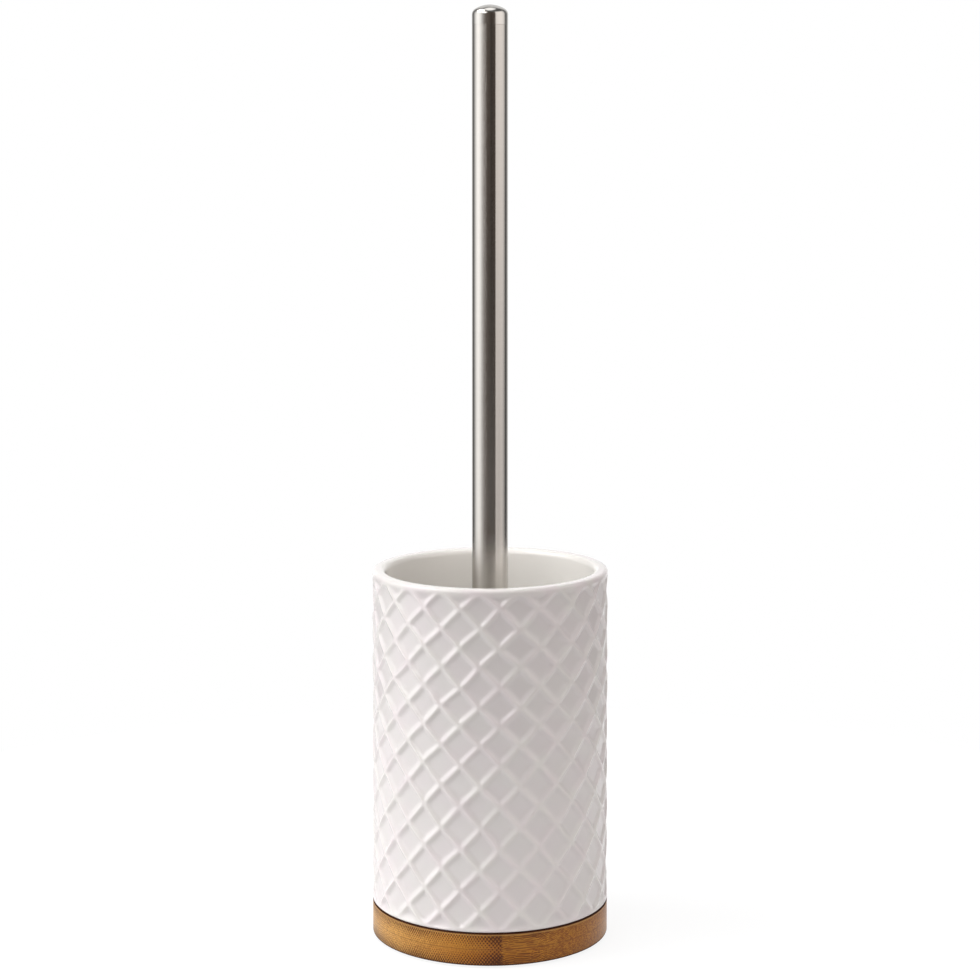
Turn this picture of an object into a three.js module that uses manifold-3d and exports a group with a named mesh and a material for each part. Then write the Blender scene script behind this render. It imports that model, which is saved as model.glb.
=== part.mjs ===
// A toilet brush in its holder, in millimetres, +Z up. Everything shares the axis x = y = 0 and
// the holder stands on z = 0.
//
// Holder: a glazed ceramic cup with a raised diamond lattice, bonded to a bamboo disc that stands on
// four small pads. The cup is open at the top and the brush stands loose in it.
// Brush: a steel tube with a domed cap and a threaded bush, screwed onto a moulded head. The head's
// bristle tufts are driven into blind holes in its core.

import * as THREE from "three";
import { mergeGeometries, mergeVertices } from "three/addons/utils/BufferGeometryUtils.js";
import Module from "manifold-3d";

const wasm = await Module();
wasm.setup();

// ---- Holder: driving dimensions ----

const holderRadius = 50; // lip, lattice ridges and bamboo disc are flush
const padCount = 4;
const padRadius = 5;
const padHeight = 1;
const padChamfer = 0.3;
const padEdgeDistance = 5; // clear bamboo between a pad and the disc's edge

const baseThickness = 13.6;
const baseTopEdgeRound = 0.7;
const baseFootEdgeRound = 0.4;

const cupHeight = 141.9; // from the disc to the lip's crest
const wallThickness = 5.3;
const floorThickness = 5;
const floorFillet = 8; // inside, where wall meets floor
const footRingWidth = 7; // unglazed ring that the cup stands on
const footRecessDepth = 2; // underside inside that ring
const footEdgeRound = 1.3;
const lipOuterRound = 2.5;
const lipCrestFlat = 0.3;

const bondRingInnerRadius = 26; // silicone bead between the recess and the disc
const bondRingWidth = 8;

// Lattice of ridges on the cup's outside. Half rows near the foot are a little taller.
const latticeColumns = 19;
const latticePhase = 4.8; // degrees from the front to the nearest crossings of the even half rows
const latticeDepth = 0.9;
const ridgeTopWidth = 0.8;
const ridgeFootWidth = 4.4;
const upperHalfRows = 9;
const lowerHalfRows = 8;
const lowerRowStretch = 1.078;
const lipBandHeight = 2.3; // plain glaze under the crest
const footBandHeight = 1.6; // plain glaze over the disc
const topCrossingsBelowCrest = 0.5; // the last crossings are lost in the lip
const lastCrossingsBelowFoot = 0.5; // and in the foot's edge
const cutOvershoot = 0.3; // how far a cut reaches past the surface it opens
const recessTipOvershoot = 0.15;

// ---- Brush: driving dimensions ----

const brushRestGap = 0.3; // bristle tips to the cup's floor
const bristleHeadRadius = 37.5;
const bristleHeadHeight = 88;
const coreRadius = 12;
const crownTuftReach = 18; // free bristle under the core's nose
const tuftRings = 5;
const tuftsPerRing = 8;
const ringSpacing = 9;
const firstRingAboveNose = 4; // from the nose's centre to the lowest ring
const lowestRingTilt = -16; // degrees above the horizon
const highestRingTilt = 12;
const crownTufts = 6;
const crownTilt = -48;
const tuftRootRadius = 2;
const tuftFlareAngle = 9.7; // degrees, from a tuft's axis to its outline
const tuftTipDome = 1.6;
const tuftTipCrown = 0.7; // share of the dome's radius where its edge turns over
const tuftHoleDepth = 5;
const tuftHoleClearance = 0.3;
const drillOvershoot = 2; // past the core's radius, so that a tilted hole is open

const coreAboveLastRing = 8; // plain core over the top ring
const shoulderHeight = 10; // cone from the core in to the handle
const seatLandHeight = 2; // short cylinder that the washer sits on
const spigotRadius = 4.7;
const spigotHeight = 16;
const spigotChamfer = 0.8;

const washerThickness = 1.5;
const washerBoreClearance = 0.5;

const handleRadius = 7.65;
const handleLength = 281.1; // from the bush's flange to the top of the dome
const tubeWall = 0.7;
const bushLength = 16;
const bushFlange = 1.2;
const threadClearance = 0.6; // bush bore to spigot, room for the thread
const pressGap = 0.15; // between a pressed-in piece and the tube
const capSkirt = 5; // straight part of the cap, above the joint with the tube
const capPlugLength = 7;
const domeHeight = 3.5;
const domeEdgeRound = 1.5;

// ---- Heights worked out from them ----

const baseTop = padHeight + baseThickness;
const recessTop = baseTop + footRecessDepth;
const cupFloor = recessTop + floorThickness;
const cupCrest = baseTop + cupHeight;
const cupInnerRadius = holderRadius - wallThickness;

const bristleBottom = cupFloor + brushRestGap;
const bristleCentre = bristleBottom + bristleHeadHeight / 2;
const noseCentre = bristleBottom + crownTuftReach + coreRadius;
const firstRing = noseCentre + firstRingAboveNose;
const coreTop = firstRing + (tuftRings - 1) * ringSpacing + coreAboveLastRing;
const washerSeat = coreTop + shoulderHeight + seatLandHeight;
const handleBottom = washerSeat + washerThickness;
const handleTop = handleBottom + handleLength;
const tubeBottom = handleBottom + bushFlange;
const tubeBoreRadius = handleRadius - tubeWall;
const capJoint = handleTop - domeHeight - capSkirt;
const bushBoreRadius = spigotRadius + threadClearance;

// ---- Facets ----

const cupSegments = 2 * latticeColumns; // an edge then runs up through every column of crossings
const discSegments = 48;
const coreSegments = 32;
const tubeSegments = 36;
const padSegments = 12;
const tuftSegments = 6;

// ---- Materials ----

const material = (color, roughness, metalness = 0) =>
  new THREE.MeshStandardMaterial({ color, roughness, metalness });

const glaze = material(0xefecea, 0.12);
const bamboo = material(0xb0763a, 0.5);
const silicone = material(0xd8d6d0, 0.6);
const padFoam = material(0x3a3836, 0.9);
const brushedSteel = material(0xb9b4ae, 0.28, 1);
const whitePlastic = material(0xf1f1ee, 0.35);
const bristle = material(0xf4f4f2, 0.5);
const rubber = material(0x2a2a2b, 0.8);

// ---- Shape helpers ----

// A profile of (radius, height) points turned about Z. It starts and ends on the axis, or closes.
function revolve(points, segments, startAngle = 0) {
  const geometry = new THREE.LatheGeometry(points, segments, startAngle);
  return geometry.rotateX(Math.PI / 2);
}

// Points of a quarter round or other arc in a profile, angles in degrees from the outward direction.
function arc(centreRadius, centreHeight, radius, fromDegrees, toDegrees, steps) {
  return Array.from({ length: steps + 1 }, (_, i) => {
    const angle = THREE.MathUtils.degToRad(fromDegrees + ((toDegrees - fromDegrees) * i) / steps);
    return new THREE.Vector2(
      centreRadius + radius * Math.cos(angle),
      centreHeight + radius * Math.sin(angle),
    );
  });
}

const at = (radius, height) => new THREE.Vector2(radius, height);

// The first and last stretch of a washer-like profile meet: the loop is closed by its first point.
const ring = (innerRadius, outerRadius, bottom, top) => [
  at(innerRadius, bottom),
  at(outerRadius, bottom),
  at(outerRadius, top),
  at(innerRadius, top),
  at(innerRadius, bottom),
];

function solid(geometry) {
  const bare = new THREE.BufferGeometry();
  bare.setAttribute("position", geometry.getAttribute("position"));
  bare.setIndex(geometry.index);
  const merged = mergeVertices(bare, 1e-4);
  return new wasm.Manifold(
    new wasm.Mesh({
      numProp: 3,
      vertProperties: merged.attributes.position.array,
      triVerts: new Uint32Array(merged.index.array),
    }),
  );
}

function geometryOf(manifold) {
  const mesh = manifold.getMesh();
  const geometry = new THREE.BufferGeometry();
  geometry.setAttribute("position", new THREE.BufferAttribute(mesh.vertProperties, mesh.numProp));
  geometry.setIndex(new THREE.BufferAttribute(mesh.triVerts, 1));
  geometry.computeVertexNormals();
  return geometry;
}

function piece(name, geometry, pieceMaterial) {
  const mesh = new THREE.Mesh(geometry, pieceMaterial);
  mesh.name = name;
  return mesh;
}

// ---- The cup's lattice: one recess for each diamond between the ridges ----

// Height of the crossings at a half row, counted up from the foot.
const halfRowHeight =
  (cupHeight - topCrossingsBelowCrest + lastCrossingsBelowFoot) /
  (upperHalfRows + lowerHalfRows * lowerRowStretch);

function crossingHeight(halfRow) {
  const lower = Math.min(halfRow, lowerHalfRows) * lowerRowStretch;
  const upper = Math.max(halfRow - lowerHalfRows, 0);
  return baseTop - lastCrossingsBelowFoot + (lower + upper) * halfRowHeight;
}

// Half the width and half the height of a diamond whose sides are drawn in by a distance.
function drawnIn(halfWidth, halfHeight, distance) {
  const side = Math.hypot(halfWidth, halfHeight);
  return [halfWidth - (distance * side) / halfHeight, halfHeight - (distance * side) / halfWidth];
}

// A point at a distance from the axis, turned by an angle from the +X direction.
const turned = (radius, angle, height) =>
  new THREE.Vector3(radius * Math.cos(angle), radius * Math.sin(angle), height);

// Two triangles that share the edge from the first corner to the third.
const quad = (a, b, c, d) => [a, b, c, a, c, d];

// One diamond recess, facing +X and centred at height 0. Its floor is folded along the upright
// diagonal, where the cup's facets meet, and its four drafted sides are flat. The mouth's side
// corners lie on the facets, and its tips are carried on outside the cup so that the cut is clean.
function recess(halfWidth, halfHeight) {
  const floorRadius = holderRadius - latticeDepth;
  const facetMiddle = Math.PI / cupSegments;
  const facetDistance = holderRadius * Math.cos(facetMiddle);
  const [mouthAcross, mouthUp] = drawnIn(halfWidth, halfHeight, ridgeTopWidth / 2);
  const [floorAcross] = drawnIn(halfWidth, halfHeight, ridgeFootWidth / 2);
  const cornerAngle = mouthAcross / holderRadius;
  const cornerRadius = facetDistance / Math.cos(cornerAngle - facetMiddle);
  const mouthCorner = turned(cornerRadius, cornerAngle, 0);
  const mouthTip = turned(holderRadius, 0, mouthUp);
  const floorCorner = turned(floorRadius, floorAcross / holderRadius, 0);
  const side = new THREE.Plane().setFromCoplanarPoints(mouthCorner, mouthTip, floorCorner);
  const fold = new THREE.Line3(turned(floorRadius, 0, 0), turned(floorRadius, 0, halfHeight));
  const floorTip = side.intersectLine(fold, new THREE.Vector3());
  const outerTip = floorTip.clone().lerp(mouthTip, 1 + recessTipOvershoot / latticeDepth);
  const diamond = (corner, tip) => [
    [tip.x, tip.y, -tip.z],
    [corner.x, corner.y, corner.z],
    [tip.x, tip.y, tip.z],
    [corner.x, -corner.y, corner.z],
  ];
  const positions = [...diamond(floorCorner, floorTip), ...diamond(mouthCorner, outerTip)].flat();
  const sides = [quad(0, 1, 5, 4), quad(2, 6, 5, 1), quad(2, 3, 7, 6), quad(0, 4, 7, 3)].flat();
  const geometry = new THREE.BufferGeometry();
  geometry.setAttribute("position", new THREE.Float32BufferAttribute(positions, 3));
  geometry.setIndex([...quad(0, 3, 2, 1), ...sides, ...quad(4, 5, 6, 7)]);
  return geometry;
}

function latticeRecesses() {
  const columnAngle = (2 * Math.PI) / latticeColumns;
  const start = THREE.MathUtils.degToRad(latticePhase - 90);
  const recesses = [];
  for (let halfRow = 0; halfRow <= upperHalfRows + lowerHalfRows; halfRow++) {
    const lowTip = crossingHeight(halfRow - 1);
    const highTip = crossingHeight(halfRow + 1);
    const halfWidth = (columnAngle / 2) * holderRadius;
    const offset = ((halfRow + 1) % 2) / 2;
    for (let column = 0; column < latticeColumns; column++) {
      recesses.push(
        recess(halfWidth, (highTip - lowTip) / 2)
          .rotateZ(start + (column + offset) * columnAngle)
          .translate(0, 0, (highTip + lowTip) / 2),
      );
    }
  }
  const patterned = revolve(
    ring(
      holderRadius - 2 * latticeDepth,
      holderRadius + 2 * cutOvershoot,
      baseTop + footBandHeight,
      cupCrest - lipBandHeight,
    ),
    cupSegments,
    THREE.MathUtils.degToRad(latticePhase),
  );
  return solid(mergeGeometries(recesses)).intersect(solid(patterned));
}

// ---- Holder pieces ----

function ceramicCup() {
  const lipInnerRound = wallThickness - lipOuterRound - lipCrestFlat;
  const outside = [
    at(0, baseTop),
    at(holderRadius - footEdgeRound, baseTop),
    ...arc(holderRadius - footEdgeRound, baseTop + footEdgeRound, footEdgeRound, -45, 0, 1),
    ...arc(holderRadius - lipOuterRound, cupCrest - lipOuterRound, lipOuterRound, 0, 90, 3),
    at(0, cupCrest),
  ];
  const insideLip = arc(
    cupInnerRadius + lipInnerRound,
    cupCrest - lipInnerRound,
    lipInnerRound,
    180,
    90,
    3,
  );
  const inside = [
    at(0, cupFloor),
    ...arc(cupInnerRadius - floorFillet, cupFloor + floorFillet, floorFillet, -90, 0, 3),
    ...insideLip,
    at(cupInnerRadius + lipInnerRound, cupCrest + cutOvershoot),
    at(0, cupCrest + cutOvershoot),
  ];
  const underside = [
    at(0, baseTop - cutOvershoot),
    at(holderRadius - footRingWidth, baseTop - cutOvershoot),
    at(holderRadius - footRingWidth, recessTop),
    at(0, recessTop),
  ];
  const phase = THREE.MathUtils.degToRad(latticePhase);
  return geometryOf(
    solid(revolve(outside, cupSegments, phase))
      .subtract(solid(revolve(inside, cupSegments, phase)))
      .subtract(solid(revolve(underside, cupSegments, phase)))
      .subtract(latticeRecesses()),
  );
}

function bambooBase() {
  const foot = [holderRadius - baseFootEdgeRound, padHeight + baseFootEdgeRound];
  const top = [holderRadius - baseTopEdgeRound, baseTop - baseTopEdgeRound];
  return revolve(
    [
      at(0, padHeight),
      ...arc(...foot, baseFootEdgeRound, -90, 0, 2),
      ...arc(...top, baseTopEdgeRound, 0, 90, 2),
      at(0, baseTop),
    ],
    discSegments,
  );
}

const bondRing = () =>
  revolve(
    ring(bondRingInnerRadius, bondRingInnerRadius + bondRingWidth, baseTop, recessTop),
    cupSegments,
  );

const footPad = () =>
  revolve(
    [
      at(0, 0),
      at(padRadius - padChamfer, 0),
      at(padRadius, padChamfer),
      at(padRadius, padHeight),
      at(0, padHeight),
    ],
    padSegments,
  );

// ---- Brush pieces ----

// Distance from a point on the axis, along a tilt, to the egg-shaped outline of the bristle head.
function reach(height, tilt) {
  const halfHeight = bristleHeadHeight / 2;
  const across = Math.cos(tilt) / bristleHeadRadius;
  const along = Math.sin(tilt) / halfHeight;
  const offset = (height - bristleCentre) / halfHeight;
  const a = across * across + along * along;
  const b = along * offset;
  return (-b + Math.sqrt(b * b - a * (offset * offset - 1))) / a;
}

// Where each tuft starts on the axis, and which way it points.
function tuftPlaces() {
  const places = [];
  const radians = THREE.MathUtils.degToRad;
  for (let row = 0; row < tuftRings; row++) {
    const share = row / Math.max(tuftRings - 1, 1);
    const tilt = radians(THREE.MathUtils.lerp(lowestRingTilt, highestRingTilt, share));
    for (let i = 0; i < tuftsPerRing; i++) {
      const turn = (2 * Math.PI * (i + (row % 2) / 2)) / tuftsPerRing;
      const name = `bristle_tuft_ring${row + 1}_${i + 1}`;
      places.push({ name, height: firstRing + row * ringSpacing, tilt, turn });
    }
  }
  for (let i = 0; i < crownTufts; i++) {
    const turn = (2 * Math.PI * i) / crownTufts;
    const name = `bristle_tuft_crown_${i + 1}`;
    places.push({ name, height: noseCentre, tilt: radians(crownTilt), turn });
  }
  places.push({ name: "bristle_tuft_tip", height: noseCentre, tilt: -Math.PI / 2, turn: 0 });
  return places;
}

// A geometry made along +Z from the origin, turned to a tuft's direction and moved to its start.
function aimed(geometry, { height, tilt, turn }) {
  return geometry
    .rotateY(Math.PI / 2 - tilt)
    .rotateZ(turn)
    .translate(0, 0, height);
}

const holeFloor = coreRadius - tuftHoleDepth; // distance of a hole's floor from its start

function tuft(place) {
  const length = reach(place.height, place.tilt);
  const flare = Math.tan(THREE.MathUtils.degToRad(tuftFlareAngle));
  const tipRadius = tuftRootRadius + flare * (length - coreRadius);
  const profile = [
    at(0, holeFloor + tuftHoleClearance),
    at(tuftRootRadius, holeFloor + tuftHoleClearance),
    at(tuftRootRadius, coreRadius),
    at(tipRadius, length - tuftTipDome),
    at(tipRadius * tuftTipCrown, length - tuftTipDome * (1 - tuftTipCrown)),
    at(0, length),
  ];
  return aimed(revolve(profile, tuftSegments), place);
}

function headCore() {
  const outline = [
    ...arc(0, noseCentre, coreRadius, -90, 0, 5),
    at(coreRadius, coreTop),
    at(handleRadius, coreTop + shoulderHeight),
    at(handleRadius, washerSeat),
    at(spigotRadius, washerSeat),
    at(spigotRadius, washerSeat + spigotHeight - spigotChamfer),
    at(spigotRadius - spigotChamfer, washerSeat + spigotHeight),
    at(0, washerSeat + spigotHeight),
  ];
  const holeRadius = tuftRootRadius + tuftHoleClearance;
  const holes = tuftPlaces().map((place) => {
    const drill = [
      at(0, holeFloor),
      at(holeRadius, holeFloor),
      at(holeRadius, coreRadius + drillOvershoot),
      at(0, coreRadius + drillOvershoot),
    ];
    return aimed(revolve(drill, tuftSegments), place);
  });
  return geometryOf(solid(revolve(outline, coreSegments)).subtract(solid(mergeGeometries(holes))));
}

const sealWasher = () =>
  revolve(
    ring(spigotRadius + washerBoreClearance, handleRadius, washerSeat, handleBottom),
    tubeSegments,
  );

function threadBush() {
  const plugRadius = tubeBoreRadius - pressGap;
  return revolve(
    [
      at(bushBoreRadius, handleBottom),
      at(handleRadius, handleBottom),
      at(handleRadius, tubeBottom),
      at(plugRadius, tubeBottom),
      at(plugRadius, handleBottom + bushLength),
      at(bushBoreRadius, handleBottom + bushLength),
      at(bushBoreRadius, handleBottom),
    ],
    tubeSegments,
  );
}

const handleTube = () =>
  revolve(ring(tubeBoreRadius, handleRadius, tubeBottom, capJoint), tubeSegments);

// The dome is an arc that meets the cap's rounded edge at a tangent.
function handleCap() {
  const plugRadius = tubeBoreRadius - pressGap;
  const edgeCentre = handleRadius - domeEdgeRound;
  const skirtTop = capJoint + capSkirt;
  const rise = domeHeight - domeEdgeRound;
  const domeRadius = (edgeCentre ** 2 + rise ** 2) / (2 * rise) + domeEdgeRound;
  const meeting = THREE.MathUtils.radToDeg(
    Math.asin(edgeCentre / (domeRadius - domeEdgeRound)),
  );
  const dome = arc(0, handleTop - domeRadius, domeRadius, 90 - meeting, 90, 4);
  dome[dome.length - 1].setX(0);
  return revolve(
    [
      at(0, capJoint - capPlugLength),
      at(plugRadius, capJoint - capPlugLength),
      at(plugRadius, capJoint),
      at(handleRadius, capJoint),
      ...arc(edgeCentre, skirtTop, domeEdgeRound, 0, 90 - meeting, 2).slice(0, -1),
      ...dome,
    ],
    tubeSegments,
  );
}

// ---- Assembly ----

const brushSet = new THREE.Group();

const holder = new THREE.Group();
holder.add(piece("ceramic_cup", ceramicCup(), glaze));
holder.add(piece("bamboo_base", bambooBase(), bamboo));
holder.add(piece("bond_ring", bondRing(), silicone));
for (let i = 0; i < padCount; i++) {
  const pad = piece(`foot_pad_${i + 1}`, footPad(), padFoam);
  const turn = (2 * Math.PI * (i + 0.5)) / padCount;
  const distance = holderRadius - padEdgeDistance - padRadius;
  pad.position.set(distance * Math.cos(turn), distance * Math.sin(turn), 0);
  holder.add(pad);
}

const brushHead = new THREE.Group();
brushHead.add(piece("head_core", headCore(), whitePlastic));
for (const place of tuftPlaces()) {
  brushHead.add(piece(place.name, tuft(place), bristle));
}

const handle = new THREE.Group();
handle.add(piece("thread_bush", threadBush(), whitePlastic));
handle.add(piece("handle_tube", handleTube(), brushedSteel));
handle.add(piece("handle_cap", handleCap(), brushedSteel));

brushSet.add(holder, brushHead, piece("seal_washer", sealWasher(), rubber), handle);

export default brushSet;
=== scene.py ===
"""The looks of a toilet brush in its holder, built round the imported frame. Metres, +Z up."""

import math

import bmesh
import bpy
import numpy as np
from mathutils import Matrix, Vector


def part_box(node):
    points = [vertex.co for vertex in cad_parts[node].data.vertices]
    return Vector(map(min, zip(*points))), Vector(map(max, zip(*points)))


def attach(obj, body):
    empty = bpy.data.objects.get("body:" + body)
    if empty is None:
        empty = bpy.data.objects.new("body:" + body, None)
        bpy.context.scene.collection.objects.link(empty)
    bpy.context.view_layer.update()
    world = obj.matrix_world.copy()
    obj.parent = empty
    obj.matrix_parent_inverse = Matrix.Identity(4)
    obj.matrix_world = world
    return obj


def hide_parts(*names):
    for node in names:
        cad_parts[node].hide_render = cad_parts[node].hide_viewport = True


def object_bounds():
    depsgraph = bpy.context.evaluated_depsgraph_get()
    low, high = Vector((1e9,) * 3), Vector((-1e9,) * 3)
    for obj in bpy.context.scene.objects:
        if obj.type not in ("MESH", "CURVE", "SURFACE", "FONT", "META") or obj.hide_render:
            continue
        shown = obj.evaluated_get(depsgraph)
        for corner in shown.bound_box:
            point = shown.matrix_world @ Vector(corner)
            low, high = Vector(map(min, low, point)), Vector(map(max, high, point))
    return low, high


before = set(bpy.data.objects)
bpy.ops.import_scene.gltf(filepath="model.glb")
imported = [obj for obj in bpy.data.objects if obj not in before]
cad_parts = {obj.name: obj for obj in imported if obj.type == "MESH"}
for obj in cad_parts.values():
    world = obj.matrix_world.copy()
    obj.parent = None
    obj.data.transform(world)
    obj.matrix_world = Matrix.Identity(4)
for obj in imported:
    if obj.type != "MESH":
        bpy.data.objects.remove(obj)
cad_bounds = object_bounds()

MM = 0.001
TAU = 2 * math.pi
# Lengths that count as nothing: a radius, a distance from a cut, and one between two places
ON_AXIS = 1e-9
ON_CUT = 1e-7
SAME_PLACE = 1e-6


# ---- Camera ----

CAMERA_DISTANCE = 1.039
CAMERA_HEIGHT = 0.346
CAMERA_PITCH = math.radians(3.45)
CAMERA_LENS = 90.62
SENSOR_WIDTH = 36
CAMERA_SHIFT = -0.2255


def add_camera():
    data = bpy.data.cameras.new("camera")
    data.lens = CAMERA_LENS
    data.sensor_width = SENSOR_WIDTH
    data.shift_y = CAMERA_SHIFT
    camera = bpy.data.objects.new("camera", data)
    camera.location = (0, -CAMERA_DISTANCE, CAMERA_HEIGHT)
    camera.rotation_euler = (math.pi / 2 - CAMERA_PITCH, 0, 0)
    bpy.context.scene.collection.objects.link(camera)
    bpy.context.scene.camera = camera


# ---- Studio ----

# What surrounds the object at its own height, as (degrees from the camera's side towards the
# right, brightness, warmth): a dim room in front, a soft box at each side, a dark gap past each
# box, and the pale backdrop.
STUDIO = [
    (-180, 0.9, 0),
    (-160, 0.85, 0),
    (-151, 0.5, 0),
    (-142, 0.2, 0),
    (-128, 0.2, 0),
    (-118, 0.55, 0),
    (-108, 1.0, 0),
    (-95, 1.65, 0),
    (-84, 1.9, 0),
    (-66, 1.5, 0),
    (-54, 0.95, 0),
    (-41, 0.36, 0.4),
    (-26, 0.17, 0.8),
    (-6, 0.13, 1),
    (7, 0.07, 1),
    (20, 0.1, 1),
    (34, 0.12, 1),
    (38, 1.4, 0.25),
    (72, 1.5, 0.25),
    (90, 1.4, 0.2),
    (102, 0.95, 0.2),
    (110, 0.35, 0),
    (117, 0.14, 0),
    (126, 0.14, 0),
    (134, 0.4, 0),
    (144, 0.75, 0),
    (153, 0.9, 0),
    (180, 0.9, 0),
]
STUDIO_BRIGHTEST = 1.9
WARMEST = (1.0, 0.8, 0.68)
# The room from the middle of the dim front to past the right box has levels of its own, which come
# in between the first two azimuths and go out between the last two.
RIGHT_ROOM = [math.radians(degrees) for degrees in (-40, 0, 100, 140)]
LOW_BRIGHTNESS = 0.7  # share of the brightness that is left a little below the horizon
LOW_BRIGHTNESS_RIGHT = 0.3
LOW_FROM = -0.02  # heights are those of a direction, as a share of its length
LOW_FULL = -0.15
SIDES_TOP = 0.8
SIDES_TOP_RIGHT = 0.6  # the dim room and the right box end lower
SIDES_TOP_EDGE = 0.08
CEILING_BRIGHTNESS = 0.14
# Soft boxes above the horizon, as (degrees to the right, degrees up, half width, half height,
# brightness)
SOFT_BOXES = [
    (-84, 47, 0.42, 0.4, 4.8),
    (-40, 30, 0.32, 0.15, 4.7),
    (-6, 89, 0.38, 0.56, 1.7),
]
SOFT_BOX_EDGE = 0.3
# Where metal and glass mirror the white backdrop: azimuths to either side, and heights
BACKDROP_FROM = math.radians(146)
BACKDROP_FULL = math.radians(162)
BACKDROP_FADES = 0.25
BACKDROP_ENDS = 0.5


class Graph:
    """A node tree with short calls to add nodes and join them."""

    def __init__(self, tree):
        self.tree = tree
        tree.nodes.clear()

    def add(self, kind, inputs=None, **settings):
        node = self.tree.nodes.new(kind)
        for key, value in settings.items():
            setattr(node, key, value)
        for key, value in (inputs or {}).items():
            if isinstance(value, bpy.types.NodeSocket):
                self.tree.links.new(value, node.inputs[key])
            else:
                node.inputs[key].default_value = value
        return node

    def math(self, operation, a, b=0.0, c=0.0):
        return self.add("ShaderNodeMath", {0: a, 1: b, 2: c}, operation=operation).outputs[0]

    def mix(self, factor, a, b, blend="MIX"):
        inputs = {0: factor, 6: a, 7: b}
        return self.add("ShaderNodeMix", inputs, data_type="RGBA", blend_type=blend).outputs[2]

    def remap(self, value, low, high, to_low=0.0, to_high=1.0, smooth=False):
        node = self.add(
            "ShaderNodeMapRange",
            {0: value, 1: low, 2: high, 3: to_low, 4: to_high},
            interpolation_type="SMOOTHSTEP" if smooth else "LINEAR",
        )
        return node.outputs[0]

    def split(self, vector):
        return self.add("ShaderNodeSeparateXYZ", {0: vector}).outputs

    def on_vector(self, operation, inputs):
        return self.add("ShaderNodeVectorMath", inputs, operation=operation).outputs

    def noise(self, coordinates, scale, detail, roughness=0.5, output="Fac"):
        inputs = {"Vector": coordinates, "Scale": scale, "Detail": detail, "Roughness": roughness}
        return self.add("ShaderNodeTexNoise", inputs).outputs[output]

    def stretched(self, coordinates, scale, turn=0.0):
        inputs = {"Vector": coordinates, "Rotation": (0, 0, turn), "Scale": scale}
        return self.add("ShaderNodeMapping", inputs).outputs[0]

    def bump(self, height, distance, strength):
        inputs = {"Height": height, "Distance": distance, "Strength": strength}
        return self.add("ShaderNodeBump", inputs).outputs[0]

    def mirrored(self, rays):
        """1 for rays that metal or glass has turned."""
        return self.math("MAXIMUM", rays["Is Glossy Ray"], rays["Is Transmission Ray"])


def white(value):
    return (value, value, value, 1)


def darkened(colour, share):
    return (*(share * c for c in colour[:3]), 1)


def soft_box(graph, direction, right, up, half_width, half_height):
    """1 inside an oval patch of the sky, fading to 0 over its edge."""
    right, up = math.radians(right), math.radians(up)
    middle = (math.sin(right) * math.cos(up), -math.cos(right) * math.cos(up), math.sin(up))
    inputs = {
        "Vector": direction,
        "Location": middle,
        "Rotation": (math.pi / 2 - up, 0, right),
        "Scale": (half_width, half_height, 1),
    }
    placed = graph.add("ShaderNodeMapping", inputs, vector_type="TEXTURE").outputs[0]
    glow = graph.add("ShaderNodeTexGradient", {"Vector": placed}, gradient_type="SPHERICAL")
    return graph.remap(glow.outputs["Fac"], 0.0, SOFT_BOX_EDGE, smooth=True)


def add_world():
    world = bpy.data.worlds.new("studio")
    world.use_nodes = True
    bpy.context.scene.world = world
    graph = Graph(world.node_tree)
    direction = graph.add("ShaderNodeTexCoord").outputs["Generated"]
    east, north, height = graph.split(direction)
    azimuth = graph.math("ARCTAN2", east, graph.math("MULTIPLY", north, -1.0))
    turn = graph.math("MULTIPLY_ADD", azimuth, 1 / TAU, 0.5)
    around = graph.add("ShaderNodeValToRGB", {0: turn})
    stops = around.color_ramp.elements
    while len(stops) < len(STUDIO):
        stops.new(0.5)
    for stop, (degrees, brightness, warmth) in zip(stops, STUDIO):
        stop.position = degrees / 360 + 0.5
        level = brightness / STUDIO_BRIGHTEST
        stop.color = (*(level * (1 + warmth * (c - 1)) for c in WARMEST), 1)
    sides = graph.mix(1.0, around.outputs[0], white(STUDIO_BRIGHTEST), "MULTIPLY")
    entering = graph.remap(azimuth, *RIGHT_ROOM[:2])
    leaving = graph.remap(azimuth, *RIGHT_ROOM[2:], 1.0, 0.0)
    room = graph.math("MULTIPLY", entering, leaving)
    dimmed = graph.remap(room, 0.0, 1.0, LOW_BRIGHTNESS, LOW_BRIGHTNESS_RIGHT)
    low = graph.remap(height, LOW_FULL, LOW_FROM, dimmed, 1.0)
    sides = graph.mix(1.0, sides, low, "MULTIPLY")
    top = graph.remap(room, 0.0, 1.0, SIDES_TOP, SIDES_TOP_RIGHT)
    over_top = graph.math("SUBTRACT", height, top)
    ceiling = graph.remap(over_top, -SIDES_TOP_EDGE, SIDES_TOP_EDGE, smooth=True)
    surroundings = graph.mix(ceiling, sides, white(CEILING_BRIGHTNESS))
    for *place, brightness in SOFT_BOXES:
        patch = soft_box(graph, direction, *place)
        surroundings = graph.mix(patch, surroundings, white(brightness))
    # What the camera sees is white, and so is what metal and glass mirror of it
    behind = graph.remap(graph.math("ABSOLUTE", azimuth), BACKDROP_FROM, BACKDROP_FULL)
    below_top = graph.remap(height, BACKDROP_FADES, BACKDROP_ENDS, 1.0, 0.0)
    backdrop = graph.math("MULTIPLY", behind, below_top)
    rays = graph.add("ShaderNodeLightPath").outputs
    mirrored = graph.math("MULTIPLY", graph.mirrored(rays), backdrop)
    shows_white = graph.math("MAXIMUM", rays["Is Camera Ray"], mirrored)
    shown = graph.mix(shows_white, surroundings, white(1.0))
    background = graph.add("ShaderNodeBackground", {"Color": shown, "Strength": 1.0})
    graph.add("ShaderNodeOutputWorld", {0: background.outputs[0]})


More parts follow.
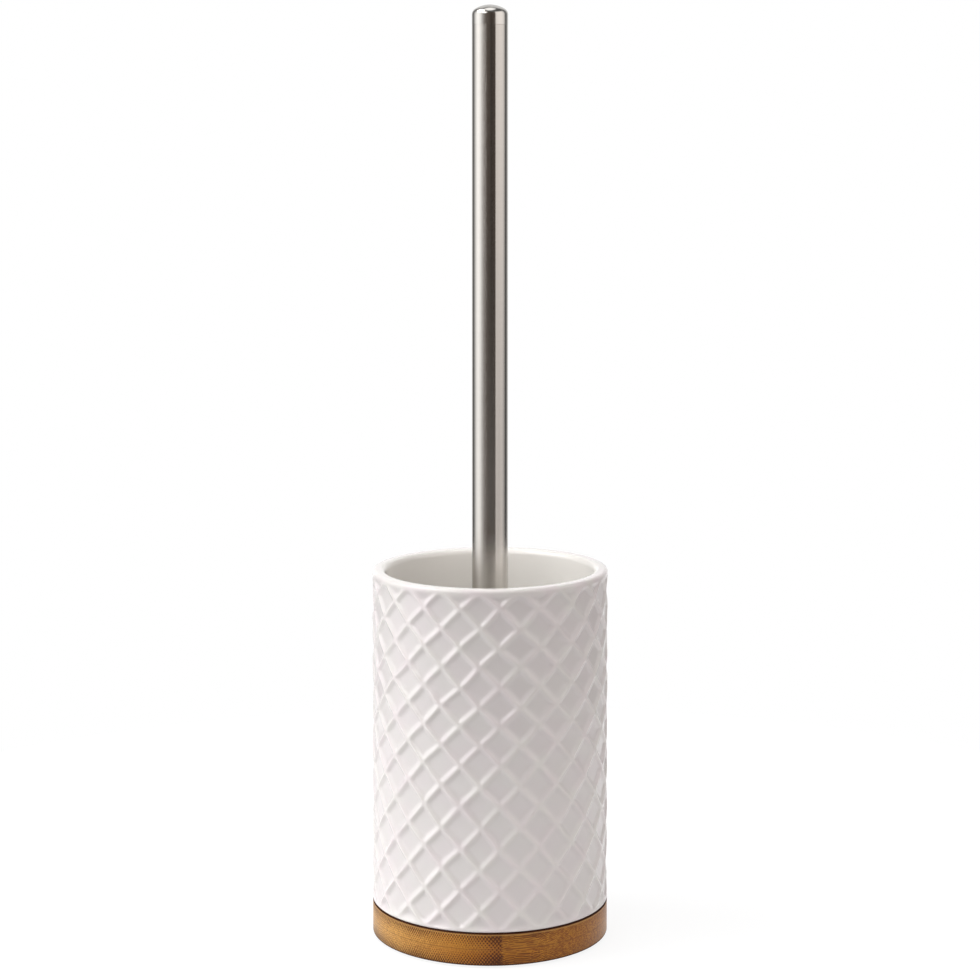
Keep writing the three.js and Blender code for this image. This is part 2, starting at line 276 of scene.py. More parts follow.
FLOOR_RADIUS = 0.4
FLOOR_SEGMENTS = 96
FLOOR_GAP = 0.02 * MM  # under the pads
FLOOR_COLOUR = 0.6
FLOOR_GLOW = 1.2
FLOOR_OWN_LIGHT = 0.73  # the glow's share, which keeps the floor as white as the backdrop


def add_floor():
    material = bpy.data.materials.new("floor")
    material.use_nodes = True
    graph = Graph(material.node_tree)
    lit = graph.add("ShaderNodeBsdfDiffuse", {"Color": white(FLOOR_COLOUR)}).outputs[0]
    glow = {"Color": white(1.0), "Strength": FLOOR_GLOW}
    own = graph.add("ShaderNodeEmission", glow).outputs[0]
    rays = graph.add("ShaderNodeLightPath").outputs
    seen = graph.math("MAXIMUM", rays["Is Camera Ray"], graph.mirrored(rays))
    share = graph.math("MULTIPLY", seen, FLOOR_OWN_LIGHT)
    shown = graph.add("ShaderNodeMixShader", {0: share, 1: lit, 2: own}).outputs[0]
    graph.add("ShaderNodeOutputMaterial", {0: shown})
    vertices, faces = turned([(0, 0), (FLOOR_RADIUS, 0)], FLOOR_SEGMENTS)
    floor = mesh_object("floor", vertices, faces, material)
    floor.location.z = cad_bounds[0][2] - FLOOR_GAP


# ---- Mesh helpers ----


def mesh_object(name, vertices, faces, material, sharp_angle=None):
    mesh = bpy.data.meshes.new(name)
    mesh.from_pydata([tuple(v) for v in vertices], [], [tuple(f) for f in faces])
    mesh.validate()
    mesh.shade_smooth()
    if sharp_angle is not None:
        mesh.set_sharp_from_angle(angle=sharp_angle)
    mesh.materials.append(material)
    thing = bpy.data.objects.new(name, mesh)
    bpy.context.scene.collection.objects.link(thing)
    return thing


def turned(profile, segments, relief=None):
    """Vertices and faces of a profile of (radius, height) turned about Z.

    Points on the axis become one vertex. A profile that closes repeats its first point. relief
    gives the radius added at arrays of radius, height and angle.
    """
    closed = np.allclose(profile[0], profile[-1]) and len(profile) > 2
    points = profile[:-1] if closed else profile
    angles = np.arange(segments) * TAU / segments
    vertices, rows = [], []
    for radius, height in points:
        if radius < ON_AXIS:
            rows.append([len(vertices)] * segments)
            vertices.append((0.0, 0.0, height))
            continue
        radii = np.full(segments, float(radius))
        if relief:
            radii = radii + relief(radii, np.full(segments, float(height)), angles)
        rows.append(list(range(len(vertices), len(vertices) + segments)))
        vertices += zip(radii * np.cos(angles), radii * np.sin(angles), [height] * segments)
    faces = []
    pairs = list(zip(rows, rows[1:] + rows[:1])) if closed else list(zip(rows, rows[1:]))
    for low, high in pairs:
        for i in range(segments):
            j = (i + 1) % segments
            corners = dict.fromkeys((low[i], low[j], high[j], high[i]))
            if len(corners) > 2:
                faces.append(tuple(corners))
    return vertices, faces


def arc(radius, height, size, start, end, steps):
    """Points round a centre, in degrees from the outward direction, towards up."""
    angles = np.radians(np.linspace(start, end, steps + 1))
    return [(radius + size * math.cos(a), height + size * math.sin(a)) for a in angles]


def smooth_step(value, low, high):
    share = np.clip((value - low) / (high - low), 0, 1)
    return share * share * (3 - 2 * share)


def finish_piece(piece, body, replaced):
    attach(piece, body)
    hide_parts(replaced)


# ---- Materials ----


def socket_name(key):
    return key.replace("_", " ").title().replace("Ior", "IOR")


def new_material(name, **uniform):
    """A material with a Principled shader, its uniform values, and object coordinates."""
    material = bpy.data.materials.new(name)
    material.use_nodes = True
    graph = Graph(material.node_tree)
    shader = graph.add("ShaderNodeBsdfPrincipled")
    for key, value in uniform.items():
        shader.inputs[socket_name(key)].default_value = value
    graph.add("ShaderNodeOutputMaterial", {0: shader.outputs[0]})
    place = graph.add("ShaderNodeTexCoord").outputs["Object"]
    return material, graph, shader, place


def connect(graph, shader, **sockets):
    for key, value in sockets.items():
        graph.tree.links.new(value, shader.inputs[socket_name(key)])


GLAZE_PINK = (0.85, 0.785, 0.79, 1)
GLAZE_CREAM = (0.84, 0.81, 0.785, 1)
GLAZE_IN_CELLS_AND_SHADE = (0.75, 0.715, 0.715, 1)  # it pools there, and the cells are also painted darker as shade in the recesses
POOLED_AND_SHADE_SHARE = 0.62
GLAZE_INSIDE = (0.95, 0.925, 0.885, 1)
INSIDE_UP_TO = 0.4 * MM  # outside the inner wall, on the lip
INSIDE_GONE = 2.4 * MM
BARE_CLAY_AND_SHADE = (0.10, 0.04, 0.025, 1)
CLAY_AND_SHADE_LINE_FULL = 0.1 * MM
CLAY_AND_SHADE_LINE = 0.25 * MM  # bare clay and glue, with painted shadow in the gap, that show as a dark line round the joint
ORANGE_PEEL = 0.05 * MM


def glaze_material(foot, inner):
    """White glaze, paler inside the cup's inner radius; its cells are darker from pooled glaze and
    painted shade, and the dark line at its foot is bare clay and glue with painted shadow.
    """
    material, graph, shader, place = new_material("glazed_ceramic", ior=1.5)
    pooled_and_shade = graph.add("ShaderNodeAttribute", attribute_name="glaze_pool_and_shade").outputs["Fac"]
    drift = graph.noise(place, scale=85.0, detail=1.0)
    tint = graph.mix(graph.remap(drift, 0.38, 0.62), GLAZE_PINK, GLAZE_CREAM)
    # The recessed cells are darker: partly glaze that pools there, partly painted shade
    glaze = graph.mix(graph.math("MULTIPLY", pooled_and_shade, POOLED_AND_SHADE_SHARE), tint, GLAZE_IN_CELLS_AND_SHADE)
    east, north, height = graph.split(place)
    level = graph.add("ShaderNodeCombineXYZ", {0: east, 1: north}).outputs[0]
    from_axis = graph.on_vector("LENGTH", {0: level})["Value"]
    inside = graph.remap(
        from_axis, inner + INSIDE_UP_TO, inner + INSIDE_GONE, 1.0, 0.0, smooth=True
    )
    glaze = graph.mix(inside, glaze, GLAZE_INSIDE)
    # Painted shadow in the gap at the foot, over the bare clay and glue there
    joint = graph.remap(
        height, foot + CLAY_AND_SHADE_LINE_FULL, foot + CLAY_AND_SHADE_LINE, 1.0, 0.0, smooth=True
    )
    glaze = graph.mix(joint, glaze, BARE_CLAY_AND_SHADE)
    peel = graph.noise(place, scale=260.0, detail=2.0)
    shimmer = graph.noise(place, scale=700.0, detail=3.0)
    roughness = graph.remap(shimmer, 0.3, 0.7, 0.08, 0.14)
    normal = graph.bump(peel, ORANGE_PEEL, strength=0.5)
    connect(graph, shader, base_color=glaze, roughness=roughness, normal=normal)
    return material


BRUSHED_LINES = (60, 60, 5200)  # per metre: fine up the handle, long round it
WEAR_STREAKS = (500, 500, 5)
BRUSHED_DEPTH = 0.004 * MM


def steel_material(name, base, roughness, brushing):
    """Steel with lines brushed round its axis, so that reflections smear up and down."""
    material, graph, shader, place = new_material(
        name, metallic=1.0, anisotropic=brushing, anisotropic_rotation=0.25
    )
    lines = graph.noise(graph.stretched(place, BRUSHED_LINES), 1.0, detail=3.0, roughness=0.6)
    wear = graph.noise(graph.stretched(place, WEAR_STREAKS), 1.0, detail=2.0)
    streak = graph.math("MULTIPLY_ADD", wear, 0.6, graph.math("MULTIPLY", lines, 0.4))
    colour = graph.mix(graph.remap(streak, 0.35, 0.65), darkened(base, 0.88), base)
    worn = graph.remap(streak, 0.3, 0.7, 0.93 * roughness, 1.07 * roughness)
    normal = graph.bump(lines, BRUSHED_DEPTH, strength=0.4)
    connect(graph, shader, base_color=colour, roughness=worn, normal=normal)
    return material


FIBRE_TURN = math.radians(-14)  # fibres lie along the surface here, from the front to the right
LEFT_FIBRE_TURN = math.radians(-44)  # the same for the strips left of the joint at the front
BUNDLE_ACROSS = 0.98 * MM  # vascular bundles stand in staggered rows
BUNDLE_UP = 1.75 * MM
BUNDLE_WANDER = 1.6 * MM
FINER_ON_THE_RIGHT = 1.9
STRIP_WIDTH = 18 * MM
STRIP_JOINT = 5 * MM  # right of the middle at the front
JOINT_RAGGED = 8 * MM  # how far the joint strays from side to side as it goes up
JOINT_BLUR = 0.3 * MM
CROWDED_FROM = STRIP_JOINT - 12 * MM
STAINED_FROM = STRIP_JOINT - 17 * MM
FAINT_FROM = STRIP_JOINT + 12 * MM
FAINT_FULL = STRIP_JOINT + 26 * MM
SAPWOOD_FULL = -46 * MM
SAPWOOD_ENDS = -6 * MM
GLUE_LINE = (0.05 * MM, 0.28 * MM)  # its full and its outer half width
LOWER_EDGE_SHADE = (0.4 * MM, 0.85 * MM)  # painted shadow up from the lower edge: full, and gone
JOINT_SHADE = (0.5 * MM, 0.7 * MM)  # the same down from the upper edge
EDGE_HIGHLIGHT_SPAN = (1.0 * MM, 1.3 * MM)  # where the painted highlight on the rounded edge under it ends
BUNDLE_DENT = -0.05 * MM

BAMBOO_DARK = (0.48, 0.18, 0.016, 1)
BAMBOO_LIGHT = (0.63, 0.29, 0.042, 1)
BAMBOO_SAPWOOD = (0.8, 0.45, 0.12, 1)
FIBRE_LINE = (0.22, 0.062, 0.008, 1)
STAIN = (0.24, 0.06, 0.008, 1)
BUNDLE_END = (0.055, 0.013, 0.003, 1)
PLY_GLUE = (0.12, 0.04, 0.01, 1)
# Painted highlight on the rounded upper edge
EDGE_HIGHLIGHT_COLOUR = (0.62, 0.33, 0.10, 1)
# Painted shade for the joint over the disc and painted shadow along its lower edge
PAINTED_EDGE_SHADE = (0.05, 0.014, 0.005, 1)


def bamboo_material(foot, top):
    """Two plies of bamboo strips, their dense skins outward, between two heights."""
    material, graph, shader, place = new_material("bamboo", ior=1.45, specular_ior_level=0.3)
    east, north, height = graph.split(place)
    ragged = graph.noise(graph.stretched(place, (0, 0, 1300)), 1.0, detail=1.0)
    strayed = graph.math("SUBTRACT", east, JOINT_RAGGED / 2)
    past_joint = graph.math("MULTIPLY_ADD", ragged, JOINT_RAGGED, strayed)
    right_of_joint = graph.remap(past_joint, STRIP_JOINT - JOINT_BLUR, STRIP_JOINT + JOINT_BLUR)
    at_the_back = graph.remap(north, -1 * MM, 1 * MM)
    right_of_joint = graph.math("MAXIMUM", right_of_joint, at_the_back)
    turned_place = graph.mix(
        right_of_joint,
        graph.stretched(place, (1, 1, 1), LEFT_FIBRE_TURN),
        graph.stretched(place, (1, 1, 1), FIBRE_TURN),
    )
    wander = graph.noise(turned_place, scale=130.0, detail=2.0, output="Color")
    shift = graph.on_vector("SUBTRACT", {0: wander, 1: (0.5, 0.5, 0.5)})[0]
    shift = graph.on_vector("SCALE", {0: shift, 3: BUNDLE_WANDER})[0]
    moved = graph.on_vector("ADD", {0: turned_place, 1: shift})[0]
    _, across, up = graph.split(moved)
    finer = graph.remap(right_of_joint, 0.0, 1.0, 1.0, FINER_ON_THE_RIGHT)
    columns = graph.math("MULTIPLY", across, graph.math("MULTIPLY", finer, TAU / BUNDLE_ACROSS))
    rows = graph.math("MULTIPLY", up, graph.math("MULTIPLY", finer, TAU / BUNDLE_UP))
    bundles = graph.math("MULTIPLY", graph.math("COSINE", columns), graph.math("COSINE", rows))

    # From 0 at the glue line between the plies to 1 at either outer skin
    middle, half = (foot + top) / 2, (top - foot) / 2
    from_middle = graph.math("ABSOLUTE", graph.math("SUBTRACT", height, middle))
    skin = graph.math("DIVIDE", from_middle, half)

    strips = graph.stretched(place, (4, 0.9 / STRIP_WIDTH, 90), FIBRE_TURN)
    strip = graph.noise(strips, 1.0, detail=1.0)
    patch = graph.noise(place, scale=42.0, detail=2.0)
    dense = graph.math("MULTIPLY_ADD", patch, 1.2, graph.math("MULTIPLY_ADD", skin, 1.25, -1.0))
    # The bundles crowd together just left of the joint, and fade out some way right of it
    crowded = graph.remap(east, CROWDED_FROM, STRIP_JOINT, 0.0, 0.5, smooth=True)
    left_of_joint = graph.math("SUBTRACT", 1.0, right_of_joint)
    crowded = graph.math("MULTIPLY", crowded, left_of_joint)
    dense = graph.math("ADD", dense, crowded)
    start = graph.math("MULTIPLY_ADD", dense, -1.0, 0.25)
    dots = graph.remap(graph.math("SUBTRACT", bundles, start), 0.0, 0.35, smooth=True)
    faint = graph.remap(east, FAINT_FROM, FAINT_FULL, 1.0, 0.45, smooth=True)
    dots = graph.math("MULTIPLY", dots, faint)
    along_fibres = graph.stretched(turned_place, (70, 1700, 1700))
    fibres = graph.noise(along_fibres, 1.0, detail=2.0, roughness=0.6)
    along_fibres = graph.stretched(turned_place, (120, 4200, 4200))
    fine = graph.noise(along_fibres, 1.0, detail=2.0, roughness=0.6)
    dots = graph.math("MULTIPLY", dots, graph.remap(right_of_joint, 0.0, 1.0, 1.0, 0.7))
    grain = graph.math("MULTIPLY", dots, graph.remap(fine, 0.25, 0.55, 0.65, 1.0))

    warm = graph.mix(graph.remap(strip, 0.3, 0.7), BAMBOO_DARK, BAMBOO_LIGHT)
    sapwood = graph.remap(east, SAPWOOD_FULL, SAPWOOD_ENDS, 0.75, 0.0, smooth=True)
    warm = graph.mix(sapwood, warm, BAMBOO_SAPWOOD)
    most_lined = graph.remap(right_of_joint, 0.0, 1.0, 0.5, 0.85)
    lined = graph.mix(graph.remap(fibres, 0.36, 0.64, 0.0, most_lined), warm, FIBRE_LINE)
    stained = graph.remap(east, STAINED_FROM, STRIP_JOINT, 0.0, 0.55, smooth=True)
    stained = graph.math("MULTIPLY", stained, left_of_joint)
    lined = graph.mix(stained, lined, STAIN)
    marked = graph.mix(graph.math("MULTIPLY", grain, 0.95), lined, BUNDLE_END)
    glue = graph.remap(from_middle, *GLUE_LINE, 0.45, 0.0, smooth=True)
    glued = graph.mix(glue, marked, PLY_GLUE)
    # The rounded upper edge is painted paler as a highlight; the joint over it is painted dark as
    # shade, and the lower edge as shadow
    under_joint = graph.math("SUBTRACT", top, height)
    # A painted highlight on the rounded upper edge, where light from above falls on it
    edge_highlight = graph.math(
        "MULTIPLY",
        graph.remap(under_joint, *EDGE_HIGHLIGHT_SPAN[::-1], 0.0, 0.5, smooth=True),
        graph.remap(under_joint, *JOINT_SHADE, smooth=True),
    )
    highlighted = graph.mix(edge_highlight, glued, EDGE_HIGHLIGHT_COLOUR)
    # Painted shade in the joint's gap and painted shadow along the lower edge
    joint = graph.remap(under_joint, *JOINT_SHADE, 1.0, 0.0, smooth=True)
    lower_shade_to, lower_shade_gone = (foot + rise for rise in LOWER_EDGE_SHADE)
    lower_edge_shade = graph.remap(height, lower_shade_to, lower_shade_gone, 0.9, 0.0, smooth=True)
    edge_shade = graph.math("MAXIMUM", joint, lower_edge_shade)
    colour = graph.mix(edge_shade, highlighted, PAINTED_EDGE_SHADE)
    roughness = graph.math("MAXIMUM", graph.remap(grain, 0.0, 1.0, 0.32, 0.5), edge_shade)
    normal = graph.bump(grain, BUNDLE_DENT, strength=0.6)
    connect(graph, shader, base_color=colour, roughness=roughness, normal=normal)
    return material


def plastic_material(name, colour, roughness):
    """Moulded plastic that lets a little light in, with a faint mottle."""
    material, graph, shader, place = new_material(name, ior=1.49, subsurface_weight=0.1)
    shader.inputs["Subsurface Radius"].default_value = (1.0, 1.0, 0.9)
    shader.inputs["Subsurface Scale"].default_value = 1 * MM
    mottle = graph.noise(place, scale=160.0, detail=3.0)
    shade = graph.mix(mottle, darkened(colour, 0.94), colour)
    finish = graph.remap(mottle, 0.3, 0.7, roughness - 0.05, roughness + 0.05)
    normal = graph.bump(graph.noise(place, scale=900.0, detail=2.0), 0.02 * MM, strength=0.4)
    connect(graph, shader, base_color=shade, roughness=finish, normal=normal)
    return material


def rubber_material(name, colour):
    """Matt rubber or foam with fine pores and a dusting of a paler shade."""
    material, graph, shader, place = new_material(name, ior=1.5)
    pores = graph.add("ShaderNodeTexVoronoi", {"Vector": place, "Scale": 2400.0})
    cells = pores.outputs["Distance"]
    dusty = (*(min(1, 1.6 * c) for c in colour[:3]), 1)
    shade = graph.mix(graph.noise(place, scale=220.0, detail=3.0), colour, dusty)
    roughness = graph.remap(cells, 0.0, 0.6, 0.95, 0.75)
    normal = graph.bump(cells, 0.08 * MM, strength=0.5)
    connect(graph, shader, base_color=shade, roughness=roughness, normal=normal)
    return material


# ---- The cup ----

LATTICE_COLUMNS = 19
HALF_ROWS = 17
LOWER_HALF_ROWS = 8
LOWER_ROW_STRETCH = 1.078
LATTICE_PHASE = math.radians(4.8)
LAST_CROSSING_BELOW_FOOT = 0.5 * MM
TOP_CROSSING_BELOW_CREST = 0.5 * MM
LATTICE_DEPTH = 1.05 * MM
RIDGE_WIDTH = 1.4 * MM  # from a ridge's crest line to where it has lost most of its height
RIDGE_FOOT = 3 * MM
BAND_FOOT = 1.0 * MM  # plain glaze under and over the lattice
BAND_LIP = 2.2 * MM
BAND_FADE = 2.2 * MM
WALL = 5.3 * MM
LIP_OUTER_ROUND = 1.65 * MM
LIP_INNER_ROUND = 2.6 * MM
LIP_SWELL = 0.5 * MM  # the wall is thicker towards its lip
FOOT_ROUND = 0.9 * MM
FOOT_RING = 7 * MM
FOOT_RECESS = 2 * MM
CUP_FLOOR = 7 * MM
FLOOR_FILLET = 8 * MM
FLAT_MIDDLE = 20 * MM  # radius of a ring that keeps the floors' faces short
SWELL_FROM = 22 * MM  # heights below the crest
SWELL_FULL = 4 * MM
DIP_FROM = 12 * MM
DIP_FULL = 1 * MM
# Lines across one diamond, as distances from a ridge's middle
CELL_LINES = np.array([0, 0.2, 0.45, 0.75, 1.05, 1.4, 1.8, 2.3, 3.0, 4.2]) * MM
# The mould is cut by hand: how far ridges stray, how much they differ in height, how the lip dips
STRAY = 0.16 * MM
STRAY_LENGTH = 17 * MM
HEIGHT_CHANGE = 0.1
LIP_DIP = 0.35 * MM
LIP_DIP_ALL_ROUND = 0.2  # share of the dip
LIP_LOWEST_AT = math.radians(-40)
WAVES = 8
KEY_STRIDE = 100000
KEY_OFFSET = 10000  # keeps the upward steps positive


def waves(points, length, random):
    """A smooth random value of about unit size at each point, changing over about a length."""
    total = np.zeros(len(points))
    for _ in range(WAVES):
        direction = random.normal(size=3)
        direction *= TAU / (length * np.linalg.norm(direction) * random.uniform(0.8, 1.6))
        total += np.sin(points @ direction + random.uniform(0, TAU))
    return total / 2


def ridge(share, spacing):
    """Height across a cell: a soft ridge along either edge and a flat floor between."""
    down = np.minimum(np.minimum(share, 1 - share) * spacing, RIDGE_FOOT)
    least = math.exp(-((RIDGE_FOOT / RIDGE_WIDTH) ** 2))
    return (np.exp(-((down / RIDGE_WIDTH) ** 2)) - least) / (1 - least)


def lattice_grid(radius, foot, crest):
    """The lattice's skin as welded diamonds: azimuths, heights, ridge shares and faces.

    Tips are counted in half rows up and half columns round. Each diamond is a grid of its own
    along its two edges, a and b.
    """
    rise = crest - TOP_CROSSING_BELOW_CREST - (foot - LAST_CROSSING_BELOW_FOOT)
    half_row = rise / (HALF_ROWS - LOWER_HALF_ROWS + LOWER_HALF_ROWS * LOWER_ROW_STRETCH)
    half_column = math.pi / LATTICE_COLUMNS
    width, height = half_column * radius, half_row
    spacing = 2 * width * height / math.hypot(width, height)
    near = CELL_LINES / spacing
    lines = np.concatenate([near, [0.5], 1 - near[::-1]])
    steps = len(lines) - 1
    period = 2 * LATTICE_COLUMNS * steps

    half_rows = np.arange(-2, HALF_ROWS + 1)
    level = np.repeat(half_rows, LATTICE_COLUMNS)
    turn = 2 * np.tile(np.arange(LATTICE_COLUMNS), len(half_rows)) + level % 2
    i, j = (level + turn) // 2, (level - turn) // 2
    a, b = np.meshgrid(np.arange(steps + 1), np.arange(steps + 1), indexing="ij")
    across = (i[:, None, None] - j[:, None, None]) * steps + a - b
    upward = (i[:, None, None] + j[:, None, None]) * steps + a + b
    # One whole number for each point, the same where neighbouring diamonds meet
    key = (across % period) * KEY_STRIDE + upward + KEY_OFFSET
    _, first, inverse = np.unique(key.ravel(), return_index=True, return_inverse=True)

    def at_points(values):
        return np.broadcast_to(values, key.shape).ravel()[first]

    share_a, share_b = at_points(lines[a]), at_points(lines[b])
    turns = at_points((i - j)[:, None, None]) + share_a - share_b
    levels = at_points((i + j)[:, None, None]) + share_a + share_b
    ridges = 1 - (1 - ridge(share_a, spacing)) * (1 - ridge(share_b, spacing))

    index = inverse.reshape(key.shape)
    quads = np.stack(
        [index[:, :-1, :-1], index[:, 1:, :-1], index[:, 1:, 1:], index[:, :-1, 1:]], axis=-1
    ).reshape(-1, 4)
    lower = np.minimum(levels, LOWER_HALF_ROWS) * LOWER_ROW_STRETCH
    upper = np.maximum(levels - LOWER_HALF_ROWS, 0)
    heights = foot - LAST_CROSSING_BELOW_FOOT + (lower + upper) * half_row
    return turns * half_column + LATTICE_PHASE, heights, ridges, quads


def lattice_mesh(radius, foot, crest):
    """The lattice between its band's two edges, cut straight there."""
    azimuths, heights, ridges, quads = lattice_grid(radius, foot, crest)
    low, high = foot + BAND_FOOT, crest - BAND_LIP
    fade_in = smooth_step(heights, low, low + BAND_FADE)
    fade = fade_in * (1 - smooth_step(heights, high - BAND_FADE, high))
    random = np.random.default_rng(11)
    even = np.column_stack([radius * np.sin(azimuths), -radius * np.cos(azimuths), heights])
    azimuths = azimuths + STRAY / radius * waves(even, STRAY_LENGTH, random)
    heights = heights + STRAY * waves(even, STRAY_LENGTH, random)
    height_change = HEIGHT_CHANGE * (1 + np.clip(waves(even, STRAY_LENGTH / 2, random), -1, 1))
    recess = LATTICE_DEPTH * (1 - ridges * (1 - height_change)) * fade
    radii = radius - recess
    vertices = np.column_stack([radii * np.sin(azimuths), -radii * np.cos(azimuths), heights])
    mesh = bpy.data.meshes.new("lattice")
    mesh.from_pydata(vertices.tolist(), [], quads.tolist())
    grid = bmesh.new()
    grid.from_mesh(mesh)
    for level, upward in ((low, -1), (high, 1)):
        bmesh.ops.bisect_plane(
            grid,
            geom=grid.verts[:] + grid.edges[:] + grid.faces[:],
            dist=ON_CUT,
            plane_co=(0, 0, level),
            plane_no=(0, 0, upward),
            clear_outer=True,
        )
    grid.verts.index_update()
    positions = np.array([v.co for v in grid.verts])
    faces = [tuple(v.index for v in face.verts) for face in grid.faces]
    rims = []
    for level in (low, high):
        edge = [v for v in grid.verts if v.is_boundary and abs(v.co.z - level) < SAME_PLACE]
        rim = [v.index for v in edge]
        rims.append(sorted(rim, key=lambda k: math.atan2(positions[k][1], positions[k][0])))
    grid.free()
    bpy.data.meshes.remove(mesh)
    return positions, faces, rims


def cup():
    low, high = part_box("ceramic_cup")
    radius, foot, crest = high.x, low.z, high.z
    inner = radius - WALL
    lip = inner - LIP_SWELL
    floor = foot + CUP_FLOOR
    positions, faces, (lower_rim, upper_rim) = lattice_mesh(radius, foot, crest)
    vertices = positions.tolist()

    over_the_lip = (
        arc(radius - LIP_OUTER_ROUND, crest - LIP_OUTER_ROUND, LIP_OUTER_ROUND, 0, 90, 8)
        + arc(lip + LIP_INNER_ROUND, crest - LIP_INNER_ROUND, LIP_INNER_ROUND, 90, 180, 10)
        + [
            (lip + LIP_SWELL * smooth_step(crest - height, SWELL_FULL, SWELL_FROM), height)
            for height in np.linspace(crest - 6 * MM, crest - 24 * MM, 7)
        ]
        + [(inner, height) for height in np.linspace(crest - 32 * MM, floor + 12 * MM, 9)]
        + arc(inner - FLOOR_FILLET, floor + FLOOR_FILLET, FLOOR_FILLET, 0, -90, 6)
        + [(FLAT_MIDDLE, floor), (0, floor)]
    )
    under_the_foot = (
        arc(radius - FOOT_ROUND, foot + FOOT_ROUND, FOOT_ROUND, 0, -90, 5)
        + [(radius - FOOT_RING, foot), (radius - FOOT_RING, foot + FOOT_RECESS)]
        + [(FLAT_MIDDLE, foot + FOOT_RECESS), (0, foot + FOOT_RECESS)]
    )
    skins = ((upper_rim, over_the_lip, True), (lower_rim, under_the_foot, False))
    for rim, profile, outward in skins:
        angles = np.arctan2(positions[rim, 1], positions[rim, 0])
        previous = list(rim)
        for ring_radius, height in profile:
            if ring_radius < ON_AXIS:
                current = [len(vertices)] * len(rim)
                vertices.append((0, 0, height))
            else:
                current = list(range(len(vertices), len(vertices) + len(rim)))
                vertices += [
                    (ring_radius * math.cos(t), ring_radius * math.sin(t), height) for t in angles
                ]
            for i in range(len(rim)):
                j = (i + 1) % len(rim)
                corners = (previous[i], previous[j], current[j], current[i])
                corners = tuple(dict.fromkeys(corners if outward else corners[::-1]))
                faces.append(corners)
            previous = current
    vertices = np.array(vertices)
    azimuths = np.arctan2(vertices[:, 0], -vertices[:, 1])
    dip = LIP_DIP * (LIP_DIP_ALL_ROUND + np.cos(azimuths - LIP_LOWEST_AT))
    vertices[:, 2] -= dip * smooth_step(vertices[:, 2], crest - DIP_FROM, crest - DIP_FULL)
    piece = mesh_object("ceramic_cup_glazed", vertices, faces, glaze_material(foot, inner))
    radii = np.linalg.norm(vertices[:, :2], axis=1)
    on_lattice = np.arange(len(vertices)) < len(positions)
    # Depth in the cells, which sets the pooled glaze and the painted shade there
    pooled_and_shade = np.where(on_lattice, np.clip((radius - radii) / LATTICE_DEPTH, 0, 1), 0.0)
    attribute = piece.data.attributes.new("glaze_pool_and_shade", "FLOAT", "POINT")
    attribute.data.foreach_set("value", pooled_and_shade.astype(np.float32))
    finish_piece(piece, "holder", "ceramic_cup")


# ---- The base ----

DISC_TOP_ROUND = 0.7 * MM
DISC_FOOT_ROUND = 0.4 * MM
DISC_SEGMENTS = 256
DISC_MIDDLE = 0.6  # share of the radius, a ring that keeps the flat faces short
PAD_EDGE_ROUND = 0.3 * MM
PAD_SEGMENTS = 48


def base_disc():
    low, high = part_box("bamboo_base")
    radius = high.x
    profile = (
        [(0, low.z), (DISC_MIDDLE * radius, low.z)]
        + arc(radius - DISC_FOOT_ROUND, low.z + DISC_FOOT_ROUND, DISC_FOOT_ROUND, -90, 0, 5)
        + arc(radius - DISC_TOP_ROUND, high.z - DISC_TOP_ROUND, DISC_TOP_ROUND, 0, 90, 5)
        + [(DISC_MIDDLE * radius, high.z), (0, high.z)]
    )
    vertices, faces = turned(profile, DISC_SEGMENTS)
    piece = mesh_object("bamboo_disc", vertices, faces, bamboo_material(low.z, high.z))
    finish_piece(piece, "holder", "bamboo_base")


def foot_pads():
    material = rubber_material("pad_foam", (0.045, 0.042, 0.04, 1))
    for name in sorted(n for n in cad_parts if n.startswith("foot_pad")):
        low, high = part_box(name)
        radius = (high.x - low.x) / 2
        edge, height = radius - PAD_EDGE_ROUND, high.z - low.z
        profile = (
            [(0, 0)]
            + arc(edge, PAD_EDGE_ROUND, PAD_EDGE_ROUND, -90, 0, 4)
            + [(radius, height), (0, height)]
        )
        vertices, faces = turned(profile, PAD_SEGMENTS)
        pad = mesh_object(f"{name}_foam", vertices, faces, material)
        pad.location = ((low.x + high.x) / 2, (low.y + high.y) / 2, low.z)
        finish_piece(pad, "holder", name)


# ---- The handle ----

TUBE_WALL = 0.7 * MM
TUBE_SEGMENTS = 128
PRESS_GAP = 0.15 * MM  # between the tube's bore and what is pressed into it
STEEL_SHARP = math.radians(30)  # edges that turn by more than this stay sharp
PLASTIC_SHARP = math.radians(40)
END_CHAMFER = 0.12 * MM
CAP_CHAMFER = 0.05 * MM
PLUG_CHAMFER = 0.4 * MM
DOME_EDGE_ROUND = 3 * MM
DOME_HEIGHT = 4.3 * MM
CAP_SKIRT = 4.2 * MM


def handle_tube(material):
    low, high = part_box("handle_tube")
    radius, bore = high.x, high.x - TUBE_WALL
    profile = [
        (bore, low.z),
        (radius - END_CHAMFER, low.z),
        (radius, low.z + END_CHAMFER),
        *[(radius, height) for height in np.linspace(low.z + 1 * MM, high.z - 1 * MM, 24)],
        (radius, high.z - CAP_CHAMFER),
        (radius - CAP_CHAMFER, high.z),
        (bore, high.z),
        (bore, low.z),
    ]
    vertices, faces = turned(profile, TUBE_SEGMENTS)
    piece = mesh_object("steel_tube", vertices, faces, material, STEEL_SHARP)
    finish_piece(piece, "handle", "handle_tube")


